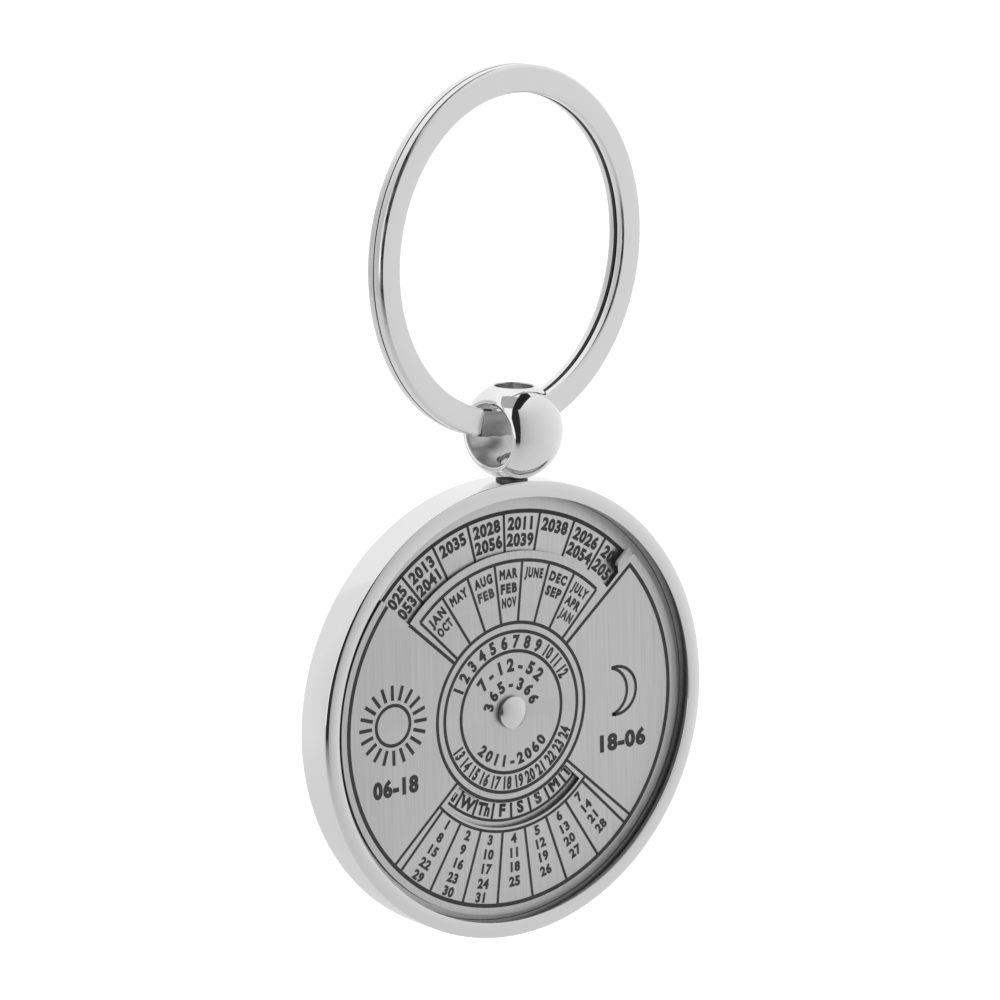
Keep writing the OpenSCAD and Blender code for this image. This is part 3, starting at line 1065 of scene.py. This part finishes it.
def add_wall(name, rows, columns):
    """Card round the object: columns of an azimuth, with a tone for each row's radius and height."""
    points = []
    tones = []
    for azimuth, *shades in columns:
        way = heading(azimuth, 0)
        points += [(way.x * radius, way.y * radius, height) for radius, height in rows]
        tones += shades
    count = len(rows)
    faces = []
    for i in range(len(columns) - 1):
        for j in range(count - 1):
            corner = i * count + j
            faces.append((corner, corner + count, corner + count + 1, corner + 1))
    add_card(name, points, faces, tones)


def add_ground(name, radius, height, middle, edges):
    """Round card below the object, from a tone in its middle to the tones at azimuths of its edge."""
    points = [(0, 0, height)]
    for azimuth, tone in edges:
        way = heading(azimuth, 0) * radius
        points.append((way.x, way.y, height))
    count = len(edges)
    faces = [(0, i + 1, (i + 1) % count + 1) for i in range(count)]
    add_card(name, points, faces, [middle] + [tone for azimuth, tone in edges])


def add_ceiling(name, centre, azimuth, length, width, height, tone):
    """Flat oblong card above the object, long along an azimuth."""
    along = heading(azimuth, 0) * length / 2
    across = heading(azimuth + 90, 0) * width / 2
    middle = Vector((*centre, height))
    points = [middle - along - across, middle + along - across,
              middle + along + across, middle - along + across]
    add_card(name, points, [(0, 1, 2, 3)], [tone] * 4)


def add_sun(azimuth, elevation, strength):
    """Broad soft light from one side, even over the whole floor."""
    spread = 50
    data = bpy.data.lights.new("soft_light", "SUN")
    data.energy = strength
    data.angle = math.radians(spread)
    lamp = bpy.data.objects.new("soft_light", data)
    bpy.context.scene.collection.objects.link(lamp)
    lamp.rotation_mode = "QUATERNION"
    lamp.rotation_quaternion = heading(azimuth, elevation).to_track_quat("Z", "Y")
    lamp.visible_glossy = False


# Build
bpy.context.scene.view_settings.view_transform = "Standard"
add_camera()

case_chrome = chrome("case_chrome", tone=0.86, rough=0.035, ripple=0.05)
ball_chrome = chrome("ball_chrome", tone=0.87, rough=0.02)
ring_chrome = chrome("ring_chrome", tone=0.85, rough=0.1)
rivet_steel = chrome("rivet_polish", tone=0.80, rough=0.08)
# Rivet sides: a dark grey painted as shade and dark reflection
rivet_side_painted_shade = plain("rivet_side_painted_shade", tone=0.25, rough=0.3)
plate_steel = brushed("plate_brushed", low=(0.63, 0.63, 0.635), high=(0.73, 0.73, 0.735), rough=0.38)
dial_steel = brushed("dial_brushed", low=(0.65, 0.65, 0.655), high=(0.75, 0.75, 0.755), rough=0.38)
dark_ink = ink("dark_ink", tone=0.032)
light_ink = ink("light_ink", tone=0.06)
# Recess wall: a darker grey painted as shade and dark reflection in the recess
recess_painted_shade = plain("recess_wall_painted_shade", tone=0.36, rough=0.25)
# Plate edge: a near-black painted as shade in the gap round the plate
edge_painted_shade = plain("edge_painted_shade", tone=0.08, rough=0.45)
bore_metal = plain("drilled_bore", tone=0.68, rough=0.28)
hole_metal = plain("drilled_hole", tone=0.66, rough=0.25)
# Ring gap faces and wire ends: a near-black painted as shade between the turns
coil_gap_painted_shade = plain("coil_gap_painted_shade", tone=0.10, rough=0.45)
spring_steel = plain("spring_steel", tone=0.42, rough=0.35)
# Swivel washer: a near-black painted as the shadow gap under the ball
washer_painted_shade = plain("washer_painted_shade", tone=0.10, rough=0.4)
tape_white = plain("tape", tone=0.8, rough=0.7, metallic=0)

piece("case_shell", case_mesh(), on_face(centre=case_centre), "case", [case_chrome, recess_painted_shade],
      ["case"])
piece("printed_dial", dial_mesh(), on_face(0, DIAL_DEPTH), "case", [dial_steel],
      ["year_dial"], own_frame=True)
piece("turning_plate", plate_mesh(), on_face(PLATE_TURN), "plate", [plate_steel, edge_painted_shade],
      ["window_plate"], own_frame=True)
piece("domed_rivet", rivet_mesh(), on_face(), "case", [rivet_steel, rivet_side_painted_shade],
      ["centre_rivet"])
piece("drilled_ball", ball_mesh(), on_ball(), "ball", [ball_chrome, bore_metal, hole_metal],
      ["swivel_ball"])
piece("domed_pin", pin_mesh(), on_ball(), "case", [rivet_steel], ["swivel_pin"])
piece("wound_ring", ring_mesh(), on_ring(), "ring", [ring_chrome, coil_gap_painted_shade], ["split_ring"])

plate_dark, plate_light = plate_prints()
piece("plate_print", plate_dark, on_face(PLATE_TURN), "plate", [dark_ink])
piece("plate_print_leap", plate_light, on_face(PLATE_TURN), "plate", [light_ink])
dial_dark, dial_light = dial_prints()
piece("dial_print", dial_dark, on_face(0, DIAL_DEPTH), "case", [dark_ink])
piece("dial_print_sunday", dial_light, on_face(0, DIAL_DEPTH), "case", [light_ink])

# The swivel washer takes a near-black painted as shade under the ball
for node, material in (("friction_washer", spring_steel), ("swivel_washer", washer_painted_shade),
                       ("dial_tape", tape_white)):
    slots = frame["nodes"][node].data.materials
    slots.clear()
    slots.append(material)

add_world()
add_floor()
ground = case_low.z - FLOOR_DROP + CARD_LIFT
gap_foot = ground + CARD_LIFT
patch_lift = 7
add_wall("grey_wall", [(GREY_R, height) for height in (ground, *GREY_HEIGHTS)], GREY_WALL)
add_wall("dark_gap", [(GAP_FOOT_R, gap_foot), (GAP_R, gap_foot), (GAP_R, GAP_TOP)], DARK_GAP)
add_wall("pale_wall", [(PALE_R, height) for height in (ground, *PALE_HEIGHTS)], PALE_WALL)
add_ground("grey_ground", GROUND_R, ground, GROUND_TONE, GREY_GROUND)
add_ceiling("dark_bar", (54, -91), CEILING_AZIMUTH, length=480, width=117, height=CEILING, tone=0.02)
add_ceiling("grey_patch", (-100, -30), CEILING_AZIMUTH, length=250, width=240,
            height=CEILING + patch_lift, tone=0.42)
add_sun(azimuth=-50, elevation=55, strength=3.0)
